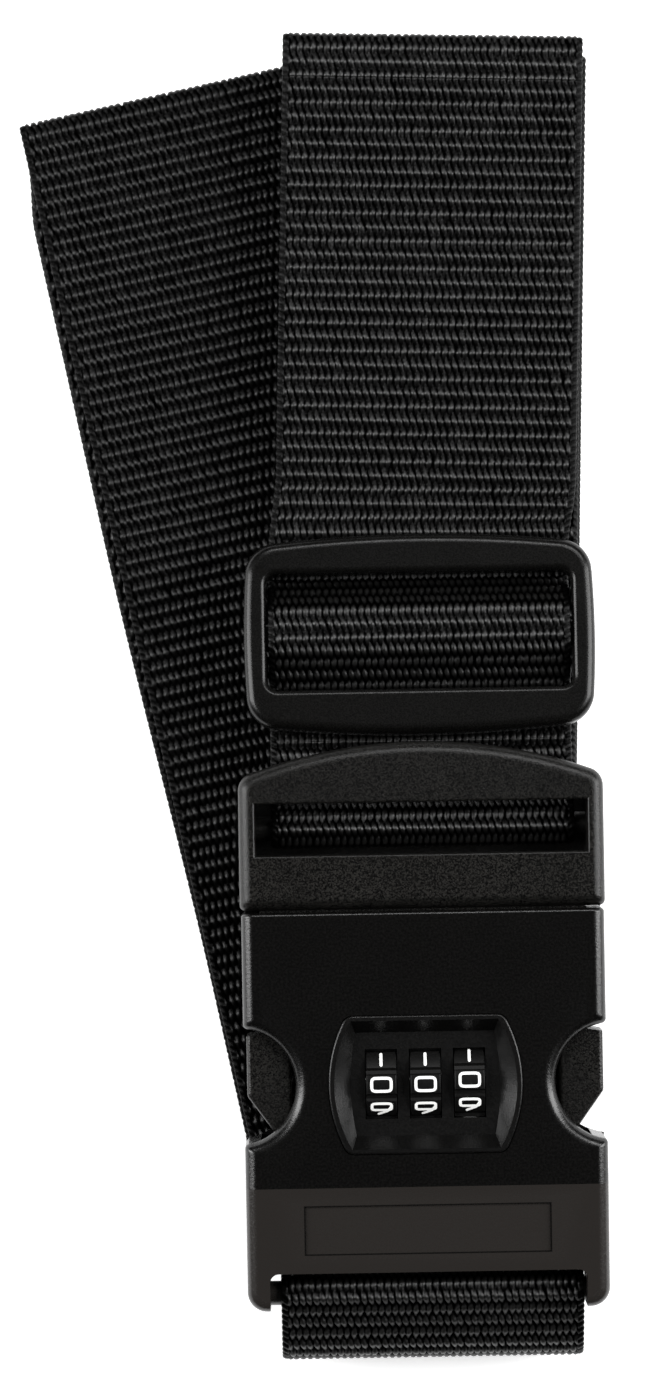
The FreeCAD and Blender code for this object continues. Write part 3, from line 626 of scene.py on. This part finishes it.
def webbing_material():
    """Black polypropylene yarn: painted shade, its colour darker in the gaps between floats and paler
    on their crowns, and a dry sheen on the floats.
    """
    n = Nodes("black_webbing")
    proud = n.add("ShaderNodeAttribute", attribute_name="proud").outputs["Fac"]
    flat = n.add("ShaderNodeAttribute", attribute_name="flat_place").outputs["Vector"]
    fibres = n.noise(n.stretched(flat, (9.0, 1.3, 1.0)), 1.0, 3.0, 0.6)
    patches = n.noise(flat, 0.12, 2.0)
    # painted shade: the colour falls off from the float crowns down into the gaps
    body = n.ramp(proud, [(0.0, 0.0003), (0.5, 0.001), (0.8, 0.004), (1.0, 0.007)])
    worn = n.compute("ADD", n.compute("MULTIPLY", fibres, 0.7), n.compute("MULTIPLY", patches, 0.5))
    uneven = n.ramp(worn, [(0.3, (0.7, 0.69, 0.66)), (0.9, (1.25, 1.22, 1.16))])
    tone = n.multiplied(body, uneven)
    rough = n.compute("ADD", 0.25, n.compute("MULTIPLY", fibres, 0.14))
    gloss = n.compute("MULTIPLY", n.compute("POWER", proud, 1.5), 0.6)
    return n.set(colour=tone, rough=rough, gloss=gloss, normal=n.bump(fibres, 0.07))


def moulded_plastic(name, colour, rough, grain_size, grain_depth, gloss=0.5, speckle=0.3, facet=None):
    """Black plastic with a spark-eroded grain, polished edges and perhaps a lower facet painted paler,
    a painted reflection of the light it catches.
    """
    n = Nodes(name)
    place = n.place()
    grain = n.noise(place, 1.0 / grain_size, 3.0, 0.65)
    cloud = n.noise(place, 0.11, 3.0)
    edge = n.add("ShaderNodeNewGeometry").outputs["Pointiness"]
    polish = n.ramp(edge, [(0.5, 0.0), (0.56, 1.0)])
    cloudy = n.compute("MULTIPLY", cloud, 0.5)
    shade = n.compute("ADD", cloudy, n.compute("MULTIPLY", polish, EDGE_WEAR))
    dark = tuple(0.65 * c for c in colour)
    light = tuple(1.7 * c for c in colour)
    specks = n.noise(place, 1.0 / grain_size, 1.0)
    sparks = n.ramp(specks, [(0.36, 1.0 - speckle), (0.66, 1.0 + 2.0 * speckle)])
    tone = n.multiplied(n.ramp(shade, [(0.1, dark), (0.75, light)]), sparks)
    grainy = n.compute("ADD", rough, n.compute("MULTIPLY", grain, 0.12))
    roughness = n.compute("SUBTRACT", grainy, n.compute("MULTIPLY", polish, 0.06))
    # painted reflection: the lower facet gets a paler colour for the light that its tilt catches
    if facet:
        tone = n.paint_facet_light(place, tone, facet)
    return n.set(colour=tone, rough=roughness, gloss=gloss, normal=n.bump(grain, grain_depth))


def steel_material():
    n = Nodes("drawn_steel")
    lines = n.noise(n.place((1.0, 1.0, 9.0)), 2.0, 2.0)
    tone = n.ramp(lines, [(0.3, 0.42), (0.7, 0.6)])
    rough = n.compute("ADD", 0.22, n.compute("MULTIPLY", lines, 0.2))
    return n.set(colour=tone, rough=rough, metal=1.0, normal=n.bump(lines, 0.01))


def paint_material():
    """White print on the dials, with a painted glow: it gives off a little light of its own."""
    n = Nodes("white_print")
    mottle = n.noise(n.place(), 2.5, 2.0)
    tone = n.ramp(mottle, [(0.2, (0.78, 0.78, 0.76)), (0.8, (0.92, 0.92, 0.91))])
    n.glow(tone, PRINT_GLOW)
    return n.set(colour=tone, rough=0.45, normal=n.bump(mottle, 0.02))


def thread_material():
    n = Nodes("black_thread")
    twist = n.noise(n.place((1.0, 4.0, 1.0)), 2.6, 2.0)
    tone = n.ramp(twist, [(0.3, 0.006), (0.7, 0.03)])
    return n.set(colour=tone, rough=0.5, normal=n.bump(twist, 0.08))


WEBBING = webbing_material()
# the socket's facet colour is painted light, far paler than its shell, standing in for the reflection
# on the tilted facet
SOCKET = moulded_plastic("socket_black", (0.0017, 0.0016, 0.0015), rough=0.22, grain_size=0.40,
                         grain_depth=0.030, facet=(0.0200, 0.0176, 0.0160))
PLUG = moulded_plastic("plug_black", (0.0045, 0.0043, 0.0039), rough=0.25, grain_size=0.30,
                       grain_depth=0.06, gloss=0.35, speckle=0.9)
SLIDER = moulded_plastic("slider_black", (0.0025, 0.0024, 0.0022), rough=0.22, grain_size=0.28,
                         grain_depth=0.016, gloss=0.3)
BEZEL = moulded_plastic("bezel_black", (0.0022, 0.0021, 0.0020), rough=0.26, grain_size=0.34,
                        grain_depth=0.030, gloss=0.4)
DIAL = moulded_plastic("dial_black", (0.0030, 0.0029, 0.0028), rough=0.42, grain_size=0.30,
                       grain_depth=0.006, gloss=0.15)
INNER = moulded_plastic("inner_black", (0.0120, 0.0118, 0.0110), rough=0.45, grain_size=0.30,
                        grain_depth=0.010)
STEEL = steel_material()
PRINT = paint_material()
THREAD = thread_material()

NODE_MATERIALS = {
    SOCKET: ["socket_front_shell", "socket_back_cover"],
    PLUG: ["plug_body", "left_arm", "right_arm"],
    SLIDER: ["slider_frame"],
    BEZEL: ["dial_bezel"],
    DIAL: ["left_dial", "middle_dial", "right_dial"],
    INNER: ["left_dial_sleeve", "middle_dial_sleeve", "right_dial_sleeve", "lock_bar", "reset_button"],
    STEEL: ["back_cover_screws", "dial_axle", "detent_spring", "lock_bar_springs", "reset_spring"],
}
for material, names in NODE_MATERIALS.items():
    for name in names:
        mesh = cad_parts[name].data
        mesh.materials.clear()
        mesh.materials.append(material)


# ---------------------------------------------------------------- webbing pieces

PAST_FOLD = 6.0
PAST_START = 10.0
SLIDER_SIDE_Y = 21.6
PLUG_SIDE_Y = -7.35
ROUND_PLUG_BAR = 20.0
fold_ends = [run["start"] + PAST_FOLD for run in strap.runs[1:]]
fold_starts = [run["fold_start"] - PAST_FOLD for run in strap.runs[1:]]
fold_spans = list(zip(fold_starts, fold_ends))

buckle_lengths = np.linspace(0, strap.buckle.lengths[-1], 20000)
buckle_y, _ = strap.buckle.at(buckle_lengths)


def cut_where(passed):
    """Length along the strap where the buckle route first passes a cut."""
    return strap.joint + buckle_lengths[np.argmax(passed)]


slider_side = cut_where(buckle_y <= SLIDER_SIDE_Y)
plug_side = cut_where(buckle_y <= PLUG_SIDE_Y)
coming_back = buckle_lengths > plug_side - strap.joint + ROUND_PLUG_BAR
return_side = cut_where((buckle_y > PLUG_SIDE_Y) & coming_back)

bottom_loop = webbing_piece("bottom_loop", rows(strap.start, PAST_START, FINE_STEP))
back_leg = webbing_piece("back_leg", rows(PAST_START, fold_starts[0], ROW_PITCH / 5), 3)
# the left leg is painted darker and less glossy, painted shade for the light its turned floats miss
left_leg = webbing_piece("left_leg", rows(fold_starts[0], fold_ends[1], ROW_PITCH / 7), 5, painted_light_and_gloss=0.72)
hidden_runs = webbing_piece("hidden_runs", rows(fold_ends[1], fold_ends[5], EDGE_STEP, fold_spans), 0)
top_run = webbing_piece("top_run", rows(fold_ends[5], fold_ends[6], EDGE_STEP, fold_spans), 5)
# the front strip is painted a little darker and less glossy as well
front_strip = webbing_piece("front_strip", rows(fold_ends[6], slider_side, FINE_STEP), painted_light_and_gloss=0.92)
slider_crossing = webbing_piece("slider_crossing", rows(slider_side, plug_side, FINE_STEP))
plug_loop = webbing_piece("plug_loop", rows(plug_side, return_side, FINE_STEP))
slider_sewn_end = webbing_piece("slider_sewn_end", rows(return_side, strap.end, FINE_STEP), 3)

for piece in (bottom_loop, back_leg, left_leg, hidden_runs):
    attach(piece, "socket")
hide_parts("folded_webbing")
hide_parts("folded_webbing")
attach(slider_crossing, "slider")
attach(slider_sewn_end, "slider")
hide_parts("slider_webbing")
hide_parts("top_run_webbing")
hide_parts("adjusting_webbing")
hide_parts("plug_webbing")

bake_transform(top_run)
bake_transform(front_strip)
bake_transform(plug_loop)


# ---------------------------------------------------------------- stitches


def tube(points, radius, sides=8):
    """Vertices and faces of a round thread through the points."""
    points = np.array(points, float)
    along = np.gradient(points, axis=0)
    along /= np.linalg.norm(along, axis=1, keepdims=True)
    side = np.array([0.0, 1.0, 0.0])
    up = np.cross(along, side)
    up /= np.linalg.norm(up, axis=1, keepdims=True)
    angles = np.linspace(0, 2 * math.pi, sides, endpoint=False)
    rings = [points + radius * (math.cos(a) * side + math.sin(a) * up) for a in angles]
    verts = np.stack(rings, axis=1).reshape(-1, 3)
    faces = []
    for i in range(len(points) - 1):
        for k in range(sides):
            nxt = (k + 1) % sides
            faces.append((i * sides + k, i * sides + nxt, (i + 1) * sides + nxt, (i + 1) * sides + k))
    faces.append(tuple(range(sides))[::-1])
    faces.append(tuple(range((len(points) - 1) * sides, len(points) * sides)))
    return verts, faces


STITCH_RADIUS = 0.24
STITCH_PITCH = 3.0
STITCH_HALF = 1.35
STITCH_DIP = 0.55
STITCH_PROUD = 0.12
STITCHES_EACH_SIDE = 7


def stitch(x, y, z, outward, proud):
    """Centreline of one thread that dips into the ply at both its ends."""
    line = []
    for k in np.linspace(-1, 1, 9):
        line.append((x + STITCH_HALF * k, y, z + outward * (proud - STITCH_DIP * abs(k) ** 2.5)))
    return line


def stitch_rows(name, node, row_ys, centre_x, under):
    """Rows of threads on both faces of the CAD node; the lower ones stand proud by under."""
    low, high = node_box(node)
    verts, faces, base = [], [], 0
    for y in row_ys:
        for i in range(-STITCHES_EACH_SIDE, STITCHES_EACH_SIDE + 1):
            x = centre_x + STITCH_PITCH * i
            for z, outward, proud in ((high[2], 1, STITCH_PROUD), (low[2], -1, under)):
                new_verts, new_faces = tube(stitch(x, y, z, outward, proud), STITCH_RADIUS)
                verts.append(new_verts)
                faces += [tuple(base + j for j in f) for f in new_faces]
                base += len(new_verts)
    mesh = bpy.data.meshes.new(name)
    mesh.from_pydata((np.concatenate(verts) * MM).tolist(), [], faces)
    mesh.shade_smooth()
    mesh.materials.append(THREAD)
    piece = linked(name, mesh)
    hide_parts(node)
    return piece


socket_stitches = stitch_rows("socket_end_stitches", "socket_end_stitching",
                              (-94.5, -97.5, -100.5), LOOP_X, 0.0)
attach(socket_stitches, "socket")
slider_stitches = stitch_rows("slider_end_stitches", "slider_end_stitching",
                              (-5.8, -3.4), SLIDER_X, -0.25)
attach(slider_stitches, "slider")


# ---------------------------------------------------------------- reset spring

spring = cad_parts["reset_spring"]
pressed_spring = linked("pressed_reset_spring", spring.data.copy())
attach(pressed_spring, "socket")
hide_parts("reset_spring")
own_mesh(pressed_spring)


# ---------------------------------------------------------------- digits

DIAL_AXIS = (-63.8, 19.9)
DIAL_RADIUS = 6.9
DIGIT_WIDE, DIGIT_TALL, STROKE = 3.2, 2.15, 0.48
PRINT_PROUD = 0.03
STROKE_PROUD = 0.002


def oval(x, y, wide, tall, start=0.0, end=360.0, square=0.38):
    """A rounded-rectangle stroke, or part of it; angles run anticlockwise from the right."""
    points = []
    for angle in np.radians(np.linspace(start, end, max(8, int(abs(end - start) / 9)))):
        c, s = math.cos(angle), math.sin(angle)
        points.append((x + wide / 2 * math.copysign(abs(c) ** square, c),
                       y + tall / 2 * math.copysign(abs(s) ** square, s)))
    return points


def digit_strokes(digit):
    """Centrelines of a digit in a box one wide and one tall, with its middle at zero."""
    strokes = {
        0: [oval(0, 0, 1, 1)],
        1: [[(0, -0.5), (0, 0.5)]],
        2: [oval(0, 0.2, 1, 0.6, 170, -80) + [(-0.5, -0.5), (0.5, -0.5)]],
        3: [oval(-0.1, 0.25, 1.1, 0.5, 150, -90), oval(-0.1, -0.25, 1.2, 0.5, 90, -150)],
        4: [[(0.25, -0.5), (0.25, 0.5), (-0.5, -0.15), (0.5, -0.15)]],
        5: [[(0.45, 0.5), (-0.4, 0.5), (-0.45, 0.1)] + oval(-0.05, -0.15, 1.1, 0.7, 110, -150)],
        6: [oval(0, -0.2, 1, 0.6), [(-0.5, -0.2), (-0.3, 0.2), (0.15, 0.5)]],
        7: [[(-0.5, 0.5), (0.5, 0.5), (-0.1, -0.5)]],
        8: [oval(0, 0.26, 0.85, 0.48), oval(0, -0.24, 1, 0.52)],
        9: [oval(0, 0.2, 1, 0.6), [(0.5, 0.2), (0.3, -0.2), (-0.15, -0.5)]],
    }
    return strokes[digit]


def resampled(points, step):
    """The same line with evenly spaced points, about a step apart."""
    points = np.array(points, float)
    lengths = lengths_along(points)
    count = max(2, int(math.ceil(lengths[-1] / step)) + 1)
    spaced = np.linspace(0, lengths[-1], count)
    return np.stack([np.interp(spaced, lengths, points[:, k]) for k in (0, 1)], axis=1)


def with_round_ends(line, along):
    """A stroke's line drawn out at both ends, and how wide it is at each point."""
    caps = np.sin(np.linspace(0, math.pi / 2, 6))[1:]
    start = [line[0] - along[0] * STROKE / 2 * c for c in caps[::-1]]
    end = [line[-1] + along[-1] * STROKE / 2 * c for c in caps]
    taper = np.sqrt(1 - np.concatenate([caps[::-1], np.zeros(len(line)), caps]) ** 2)
    along = np.concatenate([[along[0]] * len(start), along, [along[-1]] * len(end)])
    return np.concatenate([start, line, end]), along, np.maximum(taper, 0.02)


def stroke_outline(points):
    """Band along a centreline, with rounded ends unless it is closed: places across at each point."""
    line = resampled(points, 0.12)
    along = np.gradient(line, axis=0)
    along /= np.maximum(np.linalg.norm(along, axis=1, keepdims=True), 1e-9)
    closed = np.linalg.norm(line[0] - line[-1]) < 1e-6
    if closed:
        mean = along[0] + along[-1]
        along[0] = along[-1] = mean / np.linalg.norm(mean)
        taper = np.ones(len(line))
    else:
        line, along, taper = with_round_ends(line, along)
    side = np.stack([-along[:, 1], along[:, 0]], axis=1)
    offsets = np.linspace(-0.5, 0.5, 5) * STROKE
    return line[:, None, :] + side[:, None, :] * (offsets[None, :, None] * taper[:, None, None])


def on_dial(grid, centre_x, turned, radius):
    """A flat digit's places, wrapped round a dial that is turned by so many degrees."""
    angle = math.radians(turned) + grid[..., 1] / DIAL_RADIUS
    y = DIAL_AXIS[0] + radius * np.sin(angle)
    z = DIAL_AXIS[1] + radius * np.cos(angle)
    return np.stack([centre_x + grid[..., 0], y, z], axis=-1)


def add_digits(dial, turned):
    """Ten printed digits round a dial, a hair proud of it."""
    low, high = node_box(f"{dial}_dial")
    centre_x = (low[0] + high[0]) / 2
    verts, faces = [], []
    for digit in range(10):
        for k, stroke in enumerate(digit_strokes(digit)):
            grid = stroke_outline([(x * DIGIT_WIDE, y * DIGIT_TALL) for x, y in stroke])
            radius = DIAL_RADIUS + PRINT_PROUD + STROKE_PROUD * k
            points = on_dial(grid, centre_x, 36.0 * digit + turned, radius)
            along, across = points.shape[:2]
            index = len(verts) + np.arange(along * across).reshape(along, across)
            quads = np.stack([index[:-1, :-1], index[1:, :-1], index[1:, 1:], index[:-1, 1:]], axis=-1)
            verts += points.reshape(-1, 3).tolist()
            faces += quads.reshape(-1, 4).tolist()
    mesh = bpy.data.meshes.new(f"{dial}_dial_digits")
    mesh.from_pydata((np.array(verts) * MM).tolist(), [], faces)
    mesh.shade_smooth()
    mesh.materials.append(PRINT)
    piece = linked(mesh.name, mesh)
    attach(piece, f"{dial}_dial")


for dial, turned in (("left", 0.0), ("middle", 0.0), ("right", 5.0)):
    add_digits(dial, turned)


# ---------------------------------------------------------------- floor, light and camera


def floor_material():
    n = Nodes("pale_floor")
    cloud = n.noise(n.place(), 0.01, 2.0)
    tone = n.ramp(cloud, [(0.2, 0.88), (0.8, 0.9)])
    n.glow((1.0, 1.0, 1.0, 1.0), FLOOR_GLOW)
    return n.set(colour=tone, rough=0.9)


def backdrop_material():
    n = Nodes("pale_backdrop")
    cloud = n.noise(n.place(), 0.0005, 2.0)
    tone = n.ramp(cloud, [(0.2, 0.80), (0.8, 0.84)])
    n.glow(tone, 1.0)
    return n.set(colour=(0.0, 0.0, 0.0, 1.0), rough=1.0, gloss=0.0)


FLOOR_SIZE = 16.0
FLOOR_Z = -0.0004
BACKDROP_RADIUS = 7.5


def just_added(name, material):
    """The object that was just added, with its name and its material."""
    made = bpy.context.object
    made.name = name
    made.data.materials.append(material)
    return made


bpy.ops.mesh.primitive_plane_add(size=FLOOR_SIZE, location=(0, 0, FLOOR_Z))
floor = just_added("floor", floor_material())

# a pale surround that only the camera sees, so that it adds no light to the strap
bpy.ops.mesh.primitive_uv_sphere_add(radius=BACKDROP_RADIUS)
backdrop = just_added("backdrop", backdrop_material())
for ray in ("diffuse", "glossy", "transmission", "volume_scatter", "shadow"):
    setattr(backdrop, f"visible_{ray}", False)


def softbox(name, place, size, power, target=(0.003, 0.0, 0.015)):
    """A rectangular area light that faces the strap; size is (width, height)."""
    data = bpy.data.lights.new(name, "AREA")
    data.shape = "RECTANGLE"
    data.size, data.size_y = size
    data.energy = power
    light = linked(name, data)
    light.location = place
    direction = light.location - Vector(target)
    light.rotation_euler = direction.to_track_quat("Z", "Y").to_euler()


softbox("top_softbox", (0.28, 0.80, 1.0), (1.1, 0.25), 7.5)
softbox("left_softbox", (-0.85, 0.1, 0.55), (0.4, 0.9), 11.0)
softbox("right_softbox", (0.85, 0.1, 0.55), (0.4, 0.9), 11.0)

WORLD_STRENGTH = 0.03
world = bpy.data.worlds.new("studio")
world.use_nodes = True
background = world.node_tree.nodes["Background"]
background.inputs["Color"].default_value = (1, 1, 1, 1)
background.inputs["Strength"].default_value = WORLD_STRENGTH
bpy.context.scene.world = world
bpy.context.scene.view_settings.view_transform = "Standard"

# the picture's height at the level of the strap's upper faces, in millimetres
VISIBLE_HEIGHT = 233.3
MEASURED_AT = 12.6
CAMERA_HEIGHT = 900.0
CAMERA_TURN = math.radians(-1.0)
SENSOR = 36.0
camera_data = bpy.data.cameras.new("camera")
camera_data.sensor_fit = "VERTICAL"
camera_data.sensor_height = SENSOR
camera_data.sensor_width = SENSOR
camera_data.lens = SENSOR * (CAMERA_HEIGHT - MEASURED_AT) / VISIBLE_HEIGHT
camera = linked("camera", camera_data)
camera.location = at_mm(2.74, -0.55, CAMERA_HEIGHT)
camera.rotation_euler = Euler((0.0, 0.0, CAMERA_TURN))
bpy.context.scene.camera = camera
